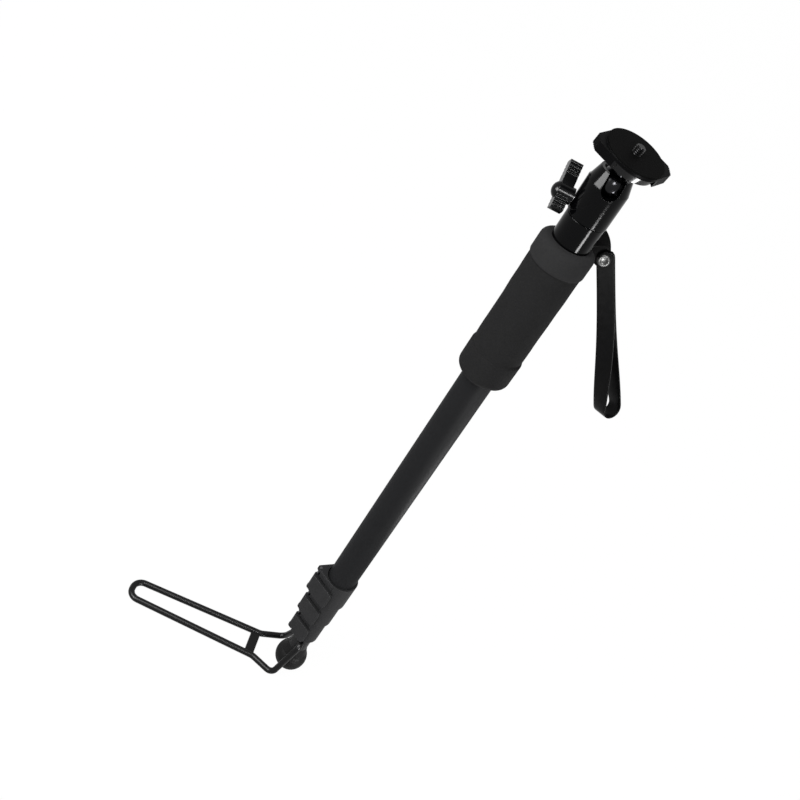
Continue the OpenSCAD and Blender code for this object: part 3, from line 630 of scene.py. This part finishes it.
# Ball and stem
# One turned steel piece, ground and black-chromed, so it mirrors the room in small bright
# spots above and beside the slot.
chrome_black = (0.01, 0.01, 0.011, 1.0)
chrome_grey = (0.022, 0.022, 0.023, 1.0)
chrome, tone = blank("black_chrome")
grinding = grain(tone, size=0.0004, stretch=(1.0, 1.0, 0.15))
smear = grain(tone, size=0.008, detail=3.0)
surface(
    tone,
    colour=mixed(tone, smear, chrome_black, chrome_grey),
    rough=0.12 + grinding * 0.14,
    specular=0.5,
    height=grinding,
    depth=0.00001,
    Metallic=1.0,
)
dress(chrome, "ball_stem")


# Camera platform
# A die-cast plate with two ears, enamelled in matte black and rubbed along its edges. The
# turned skirt under it keeps a coat of gloss lacquer.
def measured_from(tone, middle):
    """Where each point is, measured from a middle."""
    place = tone.make("ShaderNodeTexCoord", out="Object")
    return tone.make("ShaderNodeMapping", None, {"Vector": place, "Location": -middle})


def length(tone, vector):
    """The length of a vector."""
    return tone.make("ShaderNodeVectorMath", {"operation": "LENGTH"}, {0: vector}, "Value")


ball_middle = Vector((0.0, 0.0, 0.5491))
stem_up = Vector((0.074315, -0.153935, 0.985282))
skirt_top = 0.0222
skirt_reach = 0.0207
skirt_coat = 0.25
enamel_black = (0.003, 0.003, 0.0033, 1.0)
enamel_rubbed = (0.018, 0.018, 0.0185, 1.0)
enamel, tone = blank("black_enamel")
blast = grain(tone, size=0.0004)
soft = rounded(tone, radius=0.0005)
edge = rubbed(tone, soft)
centred = measured_from(tone, ball_middle)
reach = length(tone, centred)
rise = dot(tone, centred, stem_up)
inside = tone.math("LESS_THAN", reach * reach - rise * rise, skirt_reach ** 2)
skirt = tone.math("LESS_THAN", rise, skirt_top) * inside
surface(
    tone,
    colour=mixed(tone, edge * 0.5 + blast * 0.25, enamel_black, enamel_rubbed),
    rough=0.3 + blast * 0.12,
    specular=0.01,
    height=blast,
    depth=0.000012,
    normal=soft,
    **{"Coat Weight": skirt * skirt_coat, "Coat Roughness": 0.1},
)
dress(enamel, "camera_platform")

# Platform pad
# A thin disc of hard rubber glued on the platform, moulded with fine concentric ridges
# so that a camera doesn't slip on it.
pad_rise = 0.0254
pad_middle = ball_middle + pad_rise * stem_up
ridge_pitch = 0.0011
pad_black = (0.0015, 0.0015, 0.0015, 1.0)
pad_dusty = (0.0045, 0.0045, 0.0045, 1.0)
pad_rubber, tone = blank("pad_rubber")
reach = length(tone, measured_from(tone, pad_middle))
ridges = tone.math("SINE", reach * (2 * pi / ridge_pitch)) * 0.5 + 0.5
pores = grain(tone, size=0.0004, detail=3.0)
surface(
    tone,
    colour=mixed(tone, pores * 0.5 + ridges * 0.3, pad_black, pad_dusty),
    rough=0.6 + pores * 0.15,
    specular=0.015,
    height=ridges * 0.6 + pores * 0.4,
    depth=0.00006,
    normal=rounded(tone, radius=0.0003),
)
dress(pad_rubber, "platform_pad")

# Camera screw
# A quarter-inch steel screw with a coarse thread, blackened and oiled. Its thread stands
# out of the pad and its plain shank is set in the stem.
to_stem = Matrix.Translation(pad_middle) @ stem_up.to_track_quat("Z", "Y").to_matrix().to_4x4()
thread_pitch = 0.00127
crest, root = 0.003175, 0.00262
crest_low, crest_high = 0.42 * thread_pitch, 0.58 * thread_pitch
shank_radius = 0.00285
shank_low, thread_low, thread_high, tip_high = -0.0168, -0.0003, 0.0042, 0.005
tip_round = 0.0006
tip_radius = root - 0.0004
turns = round((thread_high - thread_low) / thread_pitch)
thread = [(root, thread_low - thread_pitch)]
for turn in range(turns + 1):
    base = thread_low + (turn - 0.5) * thread_pitch
    thread += [(crest, base + crest_low), (crest, base + crest_high), (root, base + thread_pitch)]
thread = [(radius, min(height, tip_high - tip_round)) for radius, height in thread]
shank = [(0.0, shank_low), (shank_radius, shank_low), (shank_radius, thread_low - thread_pitch)]
tip = [(tip_radius, tip_high), (0.0, tip_high)]
shape = turned(shank + thread + tip, steps=32)
bmesh.ops.transform(shape, matrix=to_stem, verts=shape.verts[:])

oxide_black = (0.004, 0.004, 0.0043, 1.0)
oxide_grey = (0.011, 0.011, 0.011, 1.0)
oxide, tone = blank("black_oxide")
turning = grain(tone, size=0.0003)
surface(
    tone,
    colour=mixed(tone, turning, oxide_black, oxide_grey),
    rough=0.18 + turning * 0.12,
    specular=0.5,
    height=turning,
    depth=0.00001,
    Metallic=1.0,
)
screw = add_piece("camera_thread", shape, oxide, smooth=False)
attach(screw, "ball")
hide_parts("camera_screw")

# Wing knob
# A two-winged knob moulded in gloss black nylon on a steel stud, with finger ribs near the
# ends of its wings and a domed cap pressed into its outer face.
knob_black = (0.002, 0.002, 0.0024, 1.0)
knob_rubbed = (0.012, 0.012, 0.013, 1.0)
knob_nylon, tone = blank("knob_nylon")
dust = grain(tone, size=0.0005)
soft = rounded(tone, radius=0.00045)
edge = rubbed(tone, soft)
surface(
    tone,
    colour=mixed(tone, edge * 0.4 + dust * 0.2, knob_black, knob_rubbed),
    rough=0.16 + dust * 0.1,
    specular=0.1,
    height=dust,
    depth=0.000012,
    normal=soft,
)
dress(knob_nylon, "wing_knob", "knob_cap")

# Strap tab
# A leatherette tongue screwed to the back of the neck. It is broader on the inner side of its
# bend over the grip's shoulder, and the rivet holds its end between the strap's layers.
anchor_at = Vector((0.0, 0.0163, 0.5186))
knee_at = Vector((0.021, 0.0163, 0.5081))
rivet_at = Vector((0.0285, 0.0163, 0.4961))
knee_bend = 0.02
tab_half = 0.0045
tab_web = 0.009
rivet_web = 0.003
tab_thick = 0.0016
tab_rim = 0.0004
cap_steps = 12
away = Vector((0.0, 1.0, 0.0))
spine = bent_path([anchor_at, knee_at, rivet_at], [knee_bend])
shape = bmesh.new()
outline = []
for run, web, start, end in (
    (spine, 0.0, 0.0, rivet_web),
    (spine[::-1], tab_web, rivet_web, 0.0),
):
    for count, here in enumerate(run):
        before = run[max(count - 1, 0)]
        after = run[min(count + 1, len(run) - 1)]
        along = (after - before).normalized()
        part = count / (len(run) - 1)
        half = tab_half + web * sin(pi * part) + start * (1.0 - part)
        outline.append(shape.verts.new(here + half * along.cross(away)))
    for step in range(1, cap_steps):
        turn = pi * step / cap_steps
        half = tab_half + end * step / cap_steps
        edge_way = along.cross(away) * cos(turn) + along * sin(turn)
        outline.append(shape.verts.new(here + half * edge_way))
face = shape.faces.new(outline)
bmesh.ops.translate(shape, vec=-away * tab_thick / 2, verts=shape.verts[:])
raised = bmesh.ops.extrude_face_region(shape, geom=[face])
top = [part for part in raised["geom"] if isinstance(part, bmesh.types.BMVert)]
bmesh.ops.translate(shape, vec=away * tab_thick, verts=top)
bmesh.ops.recalc_face_normals(shape, faces=shape.faces[:])
rims = [edge for edge in shape.edges if abs(edge.verts[0].co.y - edge.verts[1].co.y) < tiny]
bmesh.ops.bevel(
    shape, geom=rims, offset=tab_rim, segments=3, profile=0.5,
    affect="EDGES", material=-1,
)


def leatherette(name, hollow, crest, specular, pebbles_per_metre=1100.0):
    """Black leatherette with a fine pebble grain and soft creases."""
    finish, tone = blank(name)
    place = tone.make("ShaderNodeTexCoord", out="Object")
    pebble = tone.make(
        "ShaderNodeTexVoronoi",
        {"feature": "SMOOTH_F1"},
        {"Vector": place, "Scale": pebbles_per_metre},
    )
    crinkle = grain(tone, size=0.0035, detail=3.0)
    surface(
        tone,
        colour=mixed(tone, pebble * 0.5 + crinkle * 0.4, hollow, crest),
        rough=0.25 + crinkle * 0.16,
        specular=specular,
        height=pebble * 0.5 + crinkle * 0.5,
        depth=0.00004,
    )
    return finish


# Painted shade: the tab is the strap's leatherette, given darker colours that stand in for the
# shade it lies in.
tab_shaded_hollow = (0.0008, 0.0008, 0.0009, 1.0)
tab_shaded_crest = (0.003, 0.003, 0.0032, 1.0)
tab_shaded_hide = leatherette("tab_leatherette_painted_shade", tab_shaded_hollow, tab_shaded_crest, specular=0.02)
tab = add_piece("strap_tongue", shape, tab_shaded_hide)
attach(tab, "tab")
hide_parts("strap_tab")

# Wrist strap
# One long band of the same leatherette, folded over to a loop that hangs from the rivet.
# Its layers lie flat at the rivet, bow apart towards the fold and twist on the way down.
strap_wide = 0.0122
strap_thick = 0.0012
strap_rim = 0.0004
off_side = 0.0012
hang_angle = radians(33.0)
hang = Vector((sin(hang_angle), 0.0, -cos(hang_angle)))
side = Vector((cos(hang_angle), 0.0, sin(hang_angle)))
gap_low, gap_high = 0.0011, 0.0065
fold_at = 0.1183
flat_to = 0.008
twist = radians(50.0)
end_over = strap_wide / 2
narrowest = 0.15
middle = gap_high + strap_thick / 2
quarter = middle * pi / 2
half_length = quarter + fold_at + end_over


def loop_point(along, sideways):
    """Where a point of the flat band lies: along from the middle of the fold, and across."""
    face = -1.0 if along < 0 else 1.0
    run = abs(along)
    if run < quarter:
        down = fold_at + middle * cos(run / middle)
        out = middle * sin(run / middle)
    else:
        down = fold_at - (run - quarter)
        part = max(0.0, min(1.0, (down - flat_to) / (fold_at - flat_to)))
        out = gap_low + strap_thick / 2 + (gap_high - gap_low) * sin(part * pi / 2) ** 2
    turn = Matrix.Rotation(twist * max(0.0, down / fold_at) ** 2, 3, hang)
    return rivet_at + hang * down + side * off_side + turn @ (side * sideways + away * face * out)


shape = bmesh.new()
bmesh.ops.create_grid(shape, x_segments=120, y_segments=6, size=0.5)
for vert in shape.verts:
    along_band = vert.co.x * 2 * half_length
    short = max(0.0, end_over - (half_length - abs(along_band))) / end_over
    narrow = max(max(0.0, 1.0 - short ** 2) ** 0.5, narrowest)
    vert.co = loop_point(along_band, vert.co.y * strap_wide * narrow)
bmesh.ops.recalc_face_normals(shape, faces=shape.faces[:])
strap_hollow = (0.0016, 0.0016, 0.0018, 1.0)
strap_crest = (0.006, 0.006, 0.0064, 1.0)
strap_hide = leatherette("strap_leatherette", strap_hollow, strap_crest, specular=0.05)
strap = add_piece("strap_loop", shape, strap_hide)
wall = strap.modifiers.new("wall", "SOLIDIFY")
wall.thickness = strap_thick
wall.offset = 0.0
rim = strap.modifiers.new("rim", "BEVEL")
rim.width = strap_rim
rim.segments = 3
rim.limit_method = "ANGLE"
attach(strap, "loop")
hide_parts("wrist_strap")

# Strap rivet
# A pressed snap rivet in gunmetal plate: dished heads on both faces of the strap with a
# short shank between them.
rivet_face = 0.0023
head_radius = 0.0045
rivet_shank = 0.0015
head_outline = [
    (0.0, rivet_face + 0.00045),
    (0.0020, rivet_face + 0.0005),
    (0.0025, rivet_face + 0.00095),
    (0.0032, rivet_face + 0.0011),
    (0.0040, rivet_face + 0.0008),
    (head_radius, rivet_face + 0.00015),
    (head_radius, rivet_face),
    (rivet_shank, rivet_face),
]
far_head = [(radius, -height) for radius, height in reversed(head_outline)]
shape = turned(head_outline + far_head, steps=40)
to_rivet = Matrix.Translation(rivet_at) @ Matrix.Rotation(pi / 2, 4, "X")
bmesh.ops.transform(shape, matrix=to_rivet, verts=shape.verts[:])

gunmetal_dark = (0.04, 0.04, 0.04, 1.0)
gunmetal_pale = (0.085, 0.085, 0.083, 1.0)
gunmetal, tone = blank("gunmetal_plate")
tarnish = grain(tone, size=0.0012, detail=3.0)
surface(
    tone,
    colour=mixed(tone, tarnish, gunmetal_dark, gunmetal_pale),
    rough=0.3 + tarnish * 0.2,
    specular=0.5,
    height=tarnish,
    depth=0.00001,
    Metallic=1.0,
)
rivet = add_piece("snap_rivet", shape, gunmetal)
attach(rivet, "loop")
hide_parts("strap_rivet")
